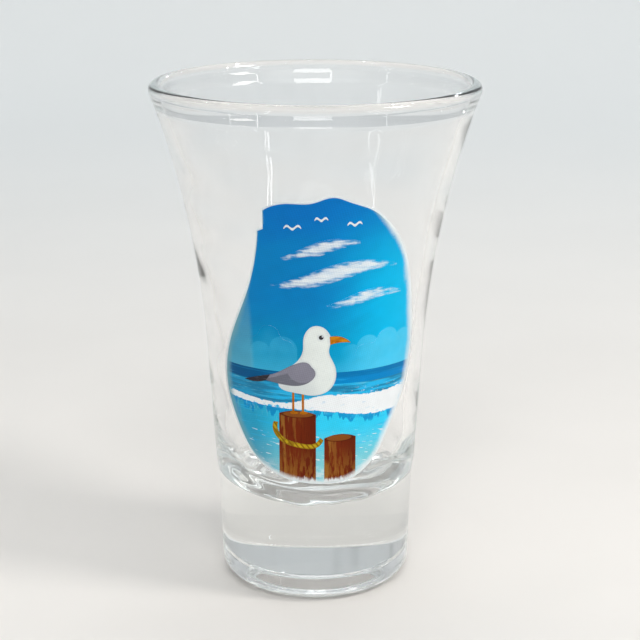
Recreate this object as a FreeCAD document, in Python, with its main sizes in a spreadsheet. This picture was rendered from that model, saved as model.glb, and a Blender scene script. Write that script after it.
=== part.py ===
import FreeCAD, Part
import Sketcher
import math
import os

# A flared shot glass of pressed clear glass, with a thick solid foot and a beaded rim, and the
# ink films of a seaside picture fired onto the front of its bowl.
# Millimetres, +Z up. The origin is the centre of the ring that the foot rests on, and the
# picture faces -Y.

SIZES = (
    ("height", 82.0, "overall height"),
    ("hollow_radius", 10.2, "radius of the ceiling of the hollow under the foot"),
    ("hollow_mouth", 11.2, "radius of that hollow where it opens, inside the resting ring"),
    ("hollow_depth", 3.4, "depth of the hollow under the foot"),
    ("hollow_round", 0.8, "radius of the hollow's upper corner"),
    ("foot_radius", 15.45, "foot radius just above the rounded heel"),
    ("heel_round", 3.4, "radius of the rounded heel"),
    ("foot_top_radius", 15.95, "foot radius below the shoulder"),
    ("foot_height", 18.0, "height of the foot below the shoulder"),
    ("bowl_base_radius", 16.35, "bowl radius above the shoulder"),
    ("bowl_base_height", 20.5, "height at which the bowl wall starts"),
    ("wall_lean", 3.7, "outward lean of the straight outer wall, degrees"),
    ("flare_start", 39.75, "height at which the flare starts"),
    ("flare_radius", 150.0, "radius of the flare's curve"),
    ("bead_base", 78.6, "height of the lower edge of the rim bead"),
    ("rim_round", 1.1, "radius of the rounded lip"),
    ("rim_radius", 25.05, "radius of the lip's crest circle"),
    ("rim_wall", 1.6, "wall thickness under the bead, measured level"),
    ("bowl_wall", 1.95, "wall thickness at the start of the flare, measured level"),
    ("inner_lean", 4.3, "outward lean of the straight inner wall, degrees"),
    ("cavity_floor", 14.3, "height of the floor inside the bowl"),
    ("cavity_round", 12.0, "radius between the inner wall and the floor"),
    ("ink", 0.05, "thickness of one ink film"),
    ("film_low", 20.8, "lower end of the inked zone"),
    ("film_high", 69.0, "upper end of the inked zone"),
    ("film_reach", 24.0, "how far the picture's outlines run forward from the axis"),
    ("picture_top", 68.2, "height of the picture's highest point"),
    ("halo", 0.3, "white left showing round the colours"),
    ("horizon", 39.6, "height of the picture's horizon"),
    ("sea_change", 37.7, "height at which the far sea meets the near sea"),
    ("post_width", 5.7, "width of the tall post"),
    ("post_top", 32.7, "height of the tall post's top edge"),
    ("short_post_width", 4.9, "width of the short post"),
    ("short_post_top", 28.7, "height of the short post's top edge"),
    ("post_crown", 0.6, "rise of each post's rounded top"),
    ("leg_width", 0.34, "width of a gull's leg"),
    ("eye_radius", 0.36, "radius of the gull's eye"),
)

doc = FreeCAD.newDocument("shot_glass")
sheet = doc.addObject("Spreadsheet::Sheet", "sizes")
for row, (alias, number, meaning) in enumerate(SIZES, 1):
    sheet.set(f"A{row}", meaning)
    sheet.set(f"B{row}", str(number))
    sheet.setAlias(f"B{row}", alias)
doc.recompute()

# Sketches lie in the XZ plane: their x is the glass's X or radius, and their y is its height.
UPRIGHT = FreeCAD.Placement(FreeCAD.Vector(), FreeCAD.Rotation(FreeCAD.Vector(1, 0, 0), 90))
START, END, CENTRE = 1, 2, 3
LEVEL_AXIS, UPRIGHT_AXIS = -1, -2
PART_LABELS = []


def size(alias):
    """Value of one named size."""
    return getattr(sheet, alias)


def at(across, up):
    """Point of an upright sketch."""
    return FreeCAD.Vector(across, up, 0)


def line(first, last):
    return Part.LineSegment(first, last)


def arc(centre, radius, first, last):
    """Arc that runs anticlockwise from one point to the other."""
    angles = [math.atan2(point.y - centre.y, point.x - centre.x) for point in (first, last)]
    return Part.ArcOfCircle(Part.Circle(centre, FreeCAD.Vector(0, 0, 1), radius), *angles)


def touch_point(outside, centre, radius, side):
    """Where a line from a point outside a circle touches it, on its right (-1) or left (1)."""
    gap = centre - outside
    turn = math.atan2(gap.y, gap.x) + side * math.asin(radius / gap.Length)
    reach = math.sqrt(gap.Length ** 2 - radius ** 2)
    return outside + at(math.cos(turn), math.sin(turn)) * reach


def drawn_value(sketch, kind, places):
    """What a dimension measures on the sketch as it is drawn."""
    if kind == "Radius":
        return sketch.Geometry[places[0]].Radius
    if kind == "Angle":
        edge = sketch.Geometry[places[0]]
        run = edge.EndPoint - edge.StartPoint
        return math.atan2(run.y, run.x) % math.tau
    points = [sketch.getPoint(*places[first:first + 2]) for first in range(0, len(places), 2)]
    gap = points[-1] - points[0] if len(points) == 2 else points[0]
    return gap.x if kind == "DistanceX" else gap.y


def dimension(sketch, kind, name, formula, *places):
    """Add a named dimension to a sketch and bind it to the sheet."""
    value = drawn_value(sketch, kind, places)
    index = sketch.addConstraint(Sketcher.Constraint(kind, *places, value))
    sketch.renameConstraint(index, name)
    sketch.setExpression(f"Constraints.{name}", formula)


def fix(sketch, name, geometry, point, across=None, up=None):
    """Place one point of a sketch at bound distances from the origin."""
    if across:
        dimension(sketch, "DistanceX", name + "_across", across, geometry, point)
    if up:
        dimension(sketch, "DistanceY", name + "_up", up, geometry, point)


def join(sketch, kind, pairs):
    """Join the ends of neighbouring lines and arcs, plainly or as tangents."""
    for pair in pairs:
        sketch.addConstraint(Sketcher.Constraint(kind, *pair))


# ---------------------------------------------------------------- the glass itself

def wall_points():
    """Ends and centres of the bowl's two walls, worked out from the sheet."""
    lean = math.radians(size("wall_lean"))
    inner_lean = math.radians(size("inner_lean"))
    rise = size("flare_start") - size("bowl_base_height")
    turn = at(size("bowl_base_radius") + rise * math.tan(lean), size("flare_start"))
    centre = turn + at(math.cos(lean), -math.sin(lean)) * size("flare_radius")
    drop = size("bead_base") - centre.y
    top = at(centre.x - math.sqrt(size("flare_radius") ** 2 - drop ** 2), size("bead_base"))
    inner_turn = at(turn.x - size("bowl_wall"), turn.y)
    inner_top = at(top.x - size("rim_wall"), top.y)
    chord = inner_top - inner_turn
    offset = chord.x * math.cos(inner_lean) - chord.y * math.sin(inner_lean)
    inner_radius = chord.Length ** 2 / (2 * offset)
    inner_centre = inner_turn + at(math.cos(inner_lean), -math.sin(inner_lean)) * inner_radius
    return turn, centre, top, inner_turn, inner_radius, inner_centre, inner_top


def make_glass():
    """Pressed glass: foot, shoulder, flared bowl and beaded rim in one turned shape."""
    body = doc.addObject("PartDesign::Body", "glass_body")
    plane = next(item for item in body.Origin.OriginFeatures if item.Role == "XZ_Plane")
    sketch = body.newObject("Sketcher::SketchObject", "glass_section")
    sketch.AttachmentSupport = [(plane, "")]
    sketch.MapMode = "FlatFace"

    turn, flare_centre, flare_top, inner_turn, inner_radius, inner_centre, inner_top = wall_points()
    ring = at(size("hollow_mouth"), 0)
    ceiling = at(size("hollow_radius"), size("hollow_depth"))
    side = (ring - ceiling).normalize()
    setback = size("hollow_round") * math.tan(math.acos(side.x) / 2)
    ceiling_end = ceiling - at(setback, 0)
    side_start = ceiling + side * setback
    hollow_centre = ceiling_end - at(0, size("hollow_round"))
    heel = size("heel_round")
    heel_centre = at(size("foot_radius") - heel, heel)
    foot_top = at(size("foot_top_radius"), size("foot_height"))
    heel_top = touch_point(foot_top, heel_centre, heel, 1)
    bowl_base = at(size("bowl_base_radius"), size("bowl_base_height"))
    lip_centre = at(size("rim_radius"), size("height") - size("rim_round"))
    lip_outer = touch_point(flare_top, lip_centre, size("rim_round"), -1)
    lip_inner = touch_point(inner_top, lip_centre, size("rim_round"), 1)
    floor_up, cavity_round = size("cavity_floor"), size("cavity_round")
    lean = math.radians(size("inner_lean"))
    drop = inner_turn.y - floor_up - cavity_round
    cavity_centre = at(inner_turn.x - drop * math.tan(lean) - cavity_round / math.cos(lean),
                       floor_up + cavity_round)
    cavity_top = cavity_centre + at(math.cos(lean), -math.sin(lean)) * cavity_round
    cavity_low = at(cavity_centre.x, floor_up)
    heel_low = at(heel_centre.x, 0)
    middle_low = at(0, size("hollow_depth"))

    sketch.addGeometry([
        line(middle_low, ceiling_end),
        arc(hollow_centre, size("hollow_round"), side_start, ceiling_end),
        line(side_start, ring),
        line(ring, heel_low),
        arc(heel_centre, heel, heel_low, heel_top),
        line(heel_top, foot_top),
        line(foot_top, bowl_base),
        line(bowl_base, turn),
        arc(flare_centre, size("flare_radius"), flare_top, turn),
        line(flare_top, lip_outer),
        arc(lip_centre, size("rim_round"), lip_outer, lip_inner),
        line(lip_inner, inner_top),
        arc(inner_centre, inner_radius, inner_top, inner_turn),
        line(inner_turn, cavity_top),
        arc(cavity_centre, cavity_round, cavity_low, cavity_top),
        line(cavity_low, at(0, floor_up)),
        line(at(0, floor_up), middle_low),
    ])
    (hollow_top, hollow_arc, hollow_side, ring_flat, heel_arc, foot, shoulder, wall, flare, bead,
     lip, bead_in, flare_in, wall_in, cavity, floor, middle) = range(17)
    join(sketch, "Tangent", (
        (hollow_top, END, hollow_arc, END), (hollow_arc, START, hollow_side, START),
        (ring_flat, END, heel_arc, START), (heel_arc, END, foot, START), (wall, END, flare, END),
        (bead, END, lip, START), (lip, END, bead_in, START), (flare_in, END, wall_in, START),
        (wall_in, END, cavity, END), (cavity, START, floor, START)))
    join(sketch, "Coincident", (
        (hollow_side, END, ring_flat, START), (foot, END, shoulder, START),
        (shoulder, END, wall, START), (flare, START, bead, START), (bead_in, END, flare_in, START),
        (floor, END, middle, START), (middle, END, hollow_top, START)))
    join(sketch, "PointOnObject", (
        (middle, START, UPRIGHT_AXIS), (middle, END, UPRIGHT_AXIS),
        (ring_flat, START, LEVEL_AXIS)))
    join(sketch, "Horizontal", ((hollow_top,), (ring_flat,), (floor,)))
    fix(sketch, "hollow_mouth", ring_flat, START, "sizes.hollow_mouth")
    fix(sketch, "hollow_top", middle, END, None, "sizes.hollow_depth")
    dimension(sketch, "Radius", "hollow_round", "sizes.hollow_round", hollow_arc)
    dimension(sketch, "Angle", "hollow_lean",
              "360 deg - atan(sizes.hollow_depth / (sizes.hollow_mouth - sizes.hollow_radius))",
              hollow_side)
    fix(sketch, "heel_centre", heel_arc, CENTRE, "sizes.foot_radius - sizes.heel_round")
    fix(sketch, "foot_top", foot, END, "sizes.foot_top_radius", "sizes.foot_height")
    fix(sketch, "bowl_base", wall, START, "sizes.bowl_base_radius", "sizes.bowl_base_height")
    fix(sketch, "flare_start", wall, END, None, "sizes.flare_start")
    fix(sketch, "bead_base", bead, START, None, "sizes.bead_base")
    fix(sketch, "lip_centre", lip, CENTRE, "sizes.rim_radius", "sizes.height - sizes.rim_round")
    fix(sketch, "inner_bead", bead_in, END, None, "sizes.bead_base")
    fix(sketch, "inner_start", wall_in, START, None, "sizes.flare_start")
    fix(sketch, "cavity_floor", floor, END, None, "sizes.cavity_floor")
    dimension(sketch, "DistanceX", "rim_wall", "sizes.rim_wall", bead_in, END, bead, START)
    dimension(sketch, "DistanceX", "bowl_wall", "sizes.bowl_wall", wall_in, START, wall, END)
    dimension(sketch, "Radius", "heel_round", "sizes.heel_round", heel_arc)
    dimension(sketch, "Radius", "flare_radius", "sizes.flare_radius", flare)
    dimension(sketch, "Radius", "rim_round", "sizes.rim_round", lip)
    dimension(sketch, "Radius", "cavity_round", "sizes.cavity_round", cavity)
    dimension(sketch, "Angle", "wall_lean", "(90 - sizes.wall_lean) * 1 deg", wall)
    dimension(sketch, "Angle", "inner_lean", "(270 - sizes.inner_lean) * 1 deg", wall_in)

    turned = body.newObject("PartDesign::Revolution", "turned_glass")
    turned.Profile = sketch
    turned.ReferenceAxis = (sketch, ["V_Axis"])
    turned.Angle = 360
    body.Label = "glass_body"
    PART_LABELS.append("glass_body")


# ---------------------------------------------------------------- ink films

def make_layer(number):
    """Thin turned shell that follows the outer wall; ink film number 1 lies on the glass."""
    inner = (number - 1) * size("ink")
    outer = number * size("ink")
    lean = math.radians(size("wall_lean"))
    turn, centre = wall_points()[:2]

    def edge(offset):
        """Low end, turning point and high end of the wall, moved outward."""
        low = at(turn.x + (size("film_low") - turn.y) * math.tan(lean) + offset / math.cos(lean),
                 size("film_low"))
        radius = size("flare_radius") - offset
        bend = centre - at(math.cos(lean), -math.sin(lean)) * radius
        rise = size("film_high") - centre.y
        high = at(centre.x - math.sqrt(radius ** 2 - rise ** 2), size("film_high"))
        return low, bend, high, radius

    low_in, bend_in, high_in, radius_in = edge(inner)
    low_out, bend_out, high_out, radius_out = edge(outer)
    sketch = doc.addObject("Sketcher::SketchObject", f"ink_section_{number}")
    sketch.Placement = UPRIGHT
    sketch.addGeometry([
        line(low_in, low_out),
        line(low_out, bend_out),
        arc(centre, radius_out, high_out, bend_out),
        line(high_out, high_in),
        arc(centre, radius_in, high_in, bend_in),
        line(bend_in, low_in),
    ])
    bottom, wall_out, flare_out, top, flare_in, wall_in = range(6)
    join(sketch, "Coincident", (
        (bottom, END, wall_out, START), (flare_out, START, top, START),
        (top, END, flare_in, START), (wall_in, END, bottom, START)))
    join(sketch, "Tangent", ((wall_out, END, flare_out, END), (flare_in, END, wall_in, START)))
    join(sketch, "Horizontal", ((bottom,), (top,)))
    wall_radius = "sizes.bowl_base_radius + (sizes.film_low - sizes.bowl_base_height)" \
                  " * tan(sizes.wall_lean) + {} * sizes.ink / cos(sizes.wall_lean)"
    for side, piece, point, curve, steps in (
            ("inner", wall_in, END, flare_in, number - 1), ("outer", wall_out, START, flare_out, number)):
        fix(sketch, side + "_low", piece, point, wall_radius.format(steps))
        dimension(sketch, "Radius", side + "_flare", f"sizes.flare_radius - {steps} * sizes.ink", curve)
        fix(sketch, side + "_bend", piece, START + END - point, None,
            f"sizes.flare_start - {steps} * sizes.ink * sin(sizes.wall_lean)")
    fix(sketch, "film_low", bottom, START, None, "sizes.film_low")
    fix(sketch, "film_high", top, START, None, "sizes.film_high")
    dimension(sketch, "Angle", "outer_lean", "(90 - sizes.wall_lean) * 1 deg", wall_out)
    dimension(sketch, "Angle", "inner_lean", "(270 - sizes.wall_lean) * 1 deg", wall_in)

    shell = doc.addObject("Part::Revolution", f"ink_layer_{number}")
    shell.Source = sketch
    shell.Axis = FreeCAD.Vector(0, 0, 1)
    shell.Base = FreeCAD.Vector()
    shell.Angle = 360
    shell.Solid = True
    return shell


def outline(name, *runs):
    """Closed upright outline, pushed forward through the front of the glass.

    Two points make a straight run, and more make a smooth curve through them. A single run
    closes on itself.
    """
    sketch = doc.addObject("Sketcher::SketchObject", name + "_outline")
    sketch.Placement = UPRIGHT
    for run in runs:
        points = [at(*point) for point in run]
        if len(points) == 2:
            sketch.addGeometry(line(*points))
        else:
            curve = Part.BSplineCurve()
            curve.interpolate(points, PeriodicFlag=len(runs) == 1)
            sketch.addGeometry(curve)
    if len(runs) > 1:
        join(sketch, "Coincident", [(index, END, (index + 1) % len(runs), START)
                                    for index in range(len(runs))])
    prism = doc.addObject("Part::Extrusion", name + "_prism")
    prism.Base = sketch
    prism.DirMode = "Custom"
    prism.Dir = FreeCAD.Vector(0, -1, 0)
    prism.setExpression("LengthFwd", "sizes.film_reach")
    prism.Solid = True
    return prism


def block(name, left, width, low, high):
    """Straight-sided block through the front of the glass, bound to the sheet."""
    box = doc.addObject("Part::Box", name + "_block")
    box.setExpression("Length", width)
    box.setExpression("Width", "sizes.film_reach")
    box.setExpression("Height", f"{high} - ({low})")
    box.setExpression("Placement.Base.x", left)
    box.setExpression("Placement.Base.y", "-sizes.film_reach")
    box.setExpression("Placement.Base.z", low)
    return box


def group(name, shapes):
    """Several outlines used as one."""
    if len(shapes) == 1:
        return shapes[0]
    fused = doc.addObject("Part::MultiFuse", name + "_group")
    fused.Shapes = list(shapes)
    return fused


def film(label, layer, inside, without=()):
    """Ink film: the part of a layer that is inside every outline and clear of the others."""
    common = doc.addObject("Part::MultiCommon", label + "_area")
    common.Shapes = [layer, *inside]
    result = common
    if without:
        result = doc.addObject("Part::Cut", label + "_cut")
        result.Base = common
        result.Tool = group(label, without)
    result.Label = label
    PART_LABELS.append(label)
    return result


def ribbon(spine, widths):
    """Runs of the outline of a stroke that follows a line of points and has a width at each."""
    left_side = []
    right_side = []
    for index, ((across, up), width) in enumerate(zip(spine, widths)):
        before = spine[max(index - 1, 0)]
        after = spine[min(index + 1, len(spine) - 1)]
        run = at(after[0] - before[0], after[1] - before[1]).normalize()
        left_side.append((across - run.y * width / 2, up + run.x * width / 2))
        right_side.append((across + run.y * width / 2, up - run.x * width / 2))
    return (left_side, (left_side[-1], right_side[-1]), right_side[::-1],
            (right_side[0], left_side[0]))


PICTURE_TOP = size("picture_top")
CUT_EDGE = ((-8.8, 62.5), (-7.95, 62.9)), ((-7.95, 62.9), (-7.95, 65.9))
PICTURE_EDGE = (
    (-7.95, 65.9), (-3.8, 67.2), (-0.5, 67.3), (2.7, PICTURE_TOP), (5.4, 67.3), (8.3, 66.1),
    (11.1, 63.5), (14.05, 57.35), (14.9, 51.4), (15.2, 45.5), (14.95, 39.7), (13.7, 34.4),
    (11.7, 29.4), (9.05, 24.3), (5.4, 21.5), (0.8, 20.95), (-2.8, 21.25), (-6.2, 22.3),
    (-9.15, 24.3), (-12.1, 29.2), (-13.8, 34.4), (-14.05, 40.1), (-12.65, 46.4), (-10.6, 52.4),
    (-9.25, 58.1), (-8.8, 62.5))
SURF_TOP = ((-16.0, 35.6), (-8.3, 34.6), (-3.9, 34.6), (0.7, 35.8), (6.9, 35.7), (16.0, 37.0))
SURF_FOOT = ((-16.0, 34.6), (-8.3, 33.7), (-3.9, 33.5), (2.3, 33.1), (7.0, 32.3), (16.0, 33.4))
SIDE_REACH = 16.0
PICTURE_MIDDLE = (0.5, 44.0)
EYE = (0.9, 45.4)
LEG_PLACES = (-3.4, -1.9)
LEG_HEIGHT = 36.6
TALL_POST_MIDDLE = -2.75
SHORT_POST_MIDDLE = 3.85


def drawn_in(points):
    """The picture's edge points, moved towards its middle by the white halo."""
    result = []
    for across, up in points:
        gap = at(across - PICTURE_MIDDLE[0], up - PICTURE_MIDDLE[1])
        share = 1 - size("halo") / gap.Length
        result.append((PICTURE_MIDDLE[0] + gap.x * share, PICTURE_MIDDLE[1] + gap.y * share))
    return tuple(result)


def make_fields(colour_edge, layer):
    """Colour fields that share one ink layer: sky, far sea, near sea, surf and shallows."""
    full_width = f"{2 * SIDE_REACH}"
    above = block("sky", f"{-SIDE_REACH}", full_width, "sizes.horizon", "sizes.film_high")
    between = block("far_sea", f"{-SIDE_REACH}", full_width, "sizes.sea_change", "sizes.horizon")
    change = size("sea_change")
    low = size("film_low")
    near_sea = outline("near_sea", SURF_TOP, (SURF_TOP[-1], (SIDE_REACH, change)),
                       ((SIDE_REACH, change), (-SIDE_REACH, change)),
                       ((-SIDE_REACH, change), SURF_TOP[0]))
    surf = outline("surf", SURF_TOP, (SURF_TOP[-1], SURF_FOOT[-1]), SURF_FOOT[::-1],
                   (SURF_FOOT[0], SURF_TOP[0]))
    shallows = outline("shallows", SURF_FOOT, (SURF_FOOT[-1], (SIDE_REACH, low)),
                       ((SIDE_REACH, low), (-SIDE_REACH, low)), ((-SIDE_REACH, low), SURF_FOOT[0]))
    for label, area in (("sky_print", above), ("far_sea_print", between),
                        ("near_sea_print", near_sea), ("surf_print", surf),
                        ("shallows_print", shallows)):
        film(label, layer, (colour_edge, area))


def make_sky_details(colour_edge, layer):
    """Low cloud banks over the horizon, high wisps of cloud and three distant birds."""
    left_bank = outline("left_bank", (
        (-12.2, 42.4), (-10.9, 44.6), (-9.2, 45.0), (-8.0, 46.8), (-6.0, 46.6), (-5.0, 45.0),
        (-3.6, 44.4), (-3.4, 42.9), (-6.8, 42.2)))
    right_bank = outline("right_bank", (
        (6.2, 42.6), (7.4, 43.9), (9.0, 44.0), (10.2, 45.5), (11.9, 45.2), (12.9, 43.9),
        (13.3, 42.5), (9.8, 42.0)))
    film("cloud_bank_print", layer, (colour_edge, group("banks", (left_bank, right_bank))))
    wisps = (
        (((-5.2, 58.0), (-2.2, 58.9), (1.0, 59.9), (4.2, 60.6), (6.8, 60.6)), (0.4, 1.5, 2.2, 1.5, 0.4)),
        (((-6.8, 53.6), (-3.0, 54.1), (1.0, 55.2), (5.4, 56.4), (9.6, 56.7), (12.4, 56.2)),
         (0.4, 1.7, 2.6, 2.5, 1.6, 0.4)),
        (((1.8, 50.4), (4.8, 51.0), (8.2, 51.9), (11.0, 52.1), (13.2, 51.7)), (0.4, 1.4, 1.9, 1.3, 0.4)))
    strokes = [outline(f"wisp_{index}", *ribbon(*stroke)) for index, stroke in enumerate(wisps, 1)]
    film("high_cloud_print", layer, (colour_edge, group("wisps", strokes)))
    birds = []
    for index, (across, up, span) in enumerate(((-3.4, 62.9, 2.6), (0.9, 64.3, 2.0), (5.9, 63.4, 2.2)), 1):
        spine = [(across + span * share, up + span * lift)
                 for share, lift in ((-0.5, 0.02), (-0.25, 0.17), (0.0, 0.0), (0.25, 0.19), (0.5, 0.05))]
        birds.append(outline(f"bird_{index}", *ribbon(spine, (0.12, 0.34, 0.4, 0.34, 0.12))))
    film("distant_birds_print", layer, (colour_edge, group("birds", birds)))


def make_gull(colour_edge, layer):
    """Plain standing gull: body, folded wing, wing tip, beak, eye and legs side by side."""
    body = outline("gull_body", (
        (0.2, 47.3), (1.8, 46.5), (2.4, 44.9), (2.1, 43.1), (2.9, 41.0), (3.2, 38.9), (2.2, 36.8),
        (0.0, 35.9), (-2.8, 36.2), (-5.6, 37.2), (-5.0, 39.4), (-3.0, 41.2), (-1.9, 43.2),
        (-1.8, 45.2), (-1.1, 46.7)))
    wing = outline("gull_wing", ((-0.6, 40.6), (0.0, 39.2), (-1.2, 37.9), (-4.0, 37.4), (-7.6, 37.9)),
                   ((-7.6, 37.9), (-7.0, 38.9)),
                   ((-7.0, 38.9), (-5.0, 39.9), (-2.8, 41.1), (-1.4, 41.3), (-0.6, 40.6)))
    tip = outline("gull_tip", ((-7.0, 38.9), (-7.6, 37.9)), ((-7.6, 37.9), (-9.2, 37.4), (-11.0, 37.5)),
                  ((-11.0, 37.5), (-9.3, 38.2), (-7.0, 38.9)))
    beak = outline("gull_beak", ((2.2, 45.5), (4.2, 45.3), (5.4, 44.4)),
                   ((5.4, 44.4), (3.9, 44.5), (2.3, 44.2)), ((2.3, 44.2), (2.2, 45.5)))
    eye = doc.addObject("Part::Cylinder", "gull_eye_rod")
    eye.setExpression("Radius", "sizes.eye_radius")
    eye.setExpression("Height", "sizes.film_reach")
    eye.Placement = FreeCAD.Placement(FreeCAD.Vector(EYE[0], 0, EYE[1]),
                                      FreeCAD.Rotation(FreeCAD.Vector(1, 0, 0), 90))
    legs = []
    for index, across in enumerate(LEG_PLACES, 1):
        legs.append(block(f"gull_leg_{index}", f"{across} - sizes.leg_width / 2", "sizes.leg_width",
                          "sizes.post_top", f"{LEG_HEIGHT}"))
        legs.append(outline(f"gull_foot_{index}", (
            (across - 0.45, size("post_top") + 0.25), (across, size("post_top") + 0.55),
            (across + 0.75, size("post_top") + 0.25), (across, size("post_top") + 0.05))))
    legs = group("gull_legs", legs)
    film("gull_body_print", layer, (colour_edge, body), (wing, tip, beak, eye))
    film("gull_wing_print", layer, (colour_edge, wing))
    film("gull_wing_tip_print", layer, (colour_edge, tip))
    film("gull_beak_print", layer, (colour_edge, beak))
    film("gull_eye_print", layer, (colour_edge, eye))
    film("gull_legs_print", layer, (colour_edge, legs), (body,))
    return legs


def make_posts(colour_edge, layer, legs):
    """Two mooring posts standing in the shallows, and the rope round the tall one."""
    rope = outline("rope", *ribbon(
        ((-6.1, 31.2), (-6.2, 29.9), (-5.3, 28.5), (-2.6, 27.5), (0.2, 27.6), (1.0, 28.6)),
        (0.7, 0.8, 0.8, 0.8, 0.8, 0.7)))
    for label, middle, width, top, without in (
            ("tall_post_print", TALL_POST_MIDDLE, "post_width", "post_top", (rope, legs)),
            ("short_post_print", SHORT_POST_MIDDLE, "short_post_width", "short_post_top",
             (rope,))):
        left = middle - size(width) / 2
        right = middle + size(width) / 2
        up = size(top)
        low = size("film_low")
        post = outline(label, ((left, up), (middle, up + size("post_crown")), (right, up)),
                       ((right, up), (right, low)), ((right, low), (left, low)),
                       ((left, low), (left, up)))
        film(label, layer, (colour_edge, post), without)
    film("rope_print", layer, (colour_edge, rope))


make_glass()
white_layer, field_layer, detail_layer = [make_layer(number) for number in (1, 2, 3)]
film("white_underprint", white_layer, (outline("picture", PICTURE_EDGE, *CUT_EDGE),))
colour_outline = outline("colour", drawn_in(PICTURE_EDGE), *[drawn_in(run) for run in CUT_EDGE])
make_fields(colour_outline, field_layer)
make_sky_details(colour_outline, detail_layer)
gull_legs = make_gull(colour_outline, detail_layer)
make_posts(colour_outline, detail_layer, gull_legs)
doc.recompute()

for item in doc.Objects:
    if "Invalid" in item.State or "Error" in item.State:
        raise RuntimeError(f"{item.Label} failed: {item.State}")

parts = []
for label in PART_LABELS:
    part = doc.getObjectsByLabel(label)[0]
    if part.Shape.isNull() or not part.Shape.isValid() or not part.Shape.Solids:
        raise RuntimeError(f"{label} has no valid solid")
    parts.append(part)

os.makedirs("parts", exist_ok=True)
for part in parts:
    part.Shape.exportStep(f"parts/{part.Label}.step")
    print(f"{part.Label}: {len(part.Shape.Solids)} solids, {part.Shape.Volume:.3f} mm3")
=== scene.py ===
import math
import random

import bpy
import numpy as np
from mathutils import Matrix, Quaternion, Vector
from mathutils.geometry import delaunay_2d_cdt


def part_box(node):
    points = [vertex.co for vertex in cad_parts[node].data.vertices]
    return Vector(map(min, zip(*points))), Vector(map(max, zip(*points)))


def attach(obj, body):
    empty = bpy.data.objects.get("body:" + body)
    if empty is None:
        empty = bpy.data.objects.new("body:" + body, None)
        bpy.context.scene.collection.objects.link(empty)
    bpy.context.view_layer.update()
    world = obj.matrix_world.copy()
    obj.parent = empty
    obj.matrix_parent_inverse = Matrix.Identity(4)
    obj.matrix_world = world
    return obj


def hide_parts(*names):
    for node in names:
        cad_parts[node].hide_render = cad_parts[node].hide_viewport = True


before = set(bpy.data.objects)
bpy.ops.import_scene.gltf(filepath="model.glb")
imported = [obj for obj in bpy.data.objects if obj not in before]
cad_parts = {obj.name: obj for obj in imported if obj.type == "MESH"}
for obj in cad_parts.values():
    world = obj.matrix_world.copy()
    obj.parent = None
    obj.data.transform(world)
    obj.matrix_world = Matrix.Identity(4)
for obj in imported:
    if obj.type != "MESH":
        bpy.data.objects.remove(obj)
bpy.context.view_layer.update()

# A flared shot glass of pressed clear glass with a thick solid foot, and the fired ink films of
# a seaside picture on the front of its bowl: a gull on a mooring post, in front of surf.
# Metres, +Z up, and the picture faces -Y. The frame sits on the ring under the foot.

bl_info = {
    "name": "Seaside Shot Glass",
    "version": (1, 0, 0),
    "blender": (4, 5, 0),
    "location": "3D View > Sidebar > Shot Glass",
    "description": "Turns a flared shot glass and prints a seaside picture on it",
    "category": "Add Mesh",
}

MM = 0.001
BODY = "root"
GLASS_BOTTOM, GLASS_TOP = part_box("glass_body")
GLASS_MIDDLE = (GLASS_BOTTOM + GLASS_TOP) / 2


def length(name, description, millimetres):
    """Size that a user may change, shown in the scene's length unit."""
    return bpy.props.FloatProperty(name=name, description=description, default=millimetres * MM,
                                   min=0.0, precision=5, subtype="DISTANCE", unit="LENGTH")


def slope(name, description, degrees):
    """Angle that a user may change."""
    return bpy.props.FloatProperty(name=name, description=description,
                                   default=math.radians(degrees), subtype="ANGLE",
                                   unit="ROTATION")


def colour(name, description, red, green, blue):
    """Linear colour that a user may change."""
    return bpy.props.FloatVectorProperty(name=name, description=description, size=4, min=0.0,
                                         max=1.0, default=(red, green, blue, 1.0),
                                         subtype="COLOR")


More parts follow.
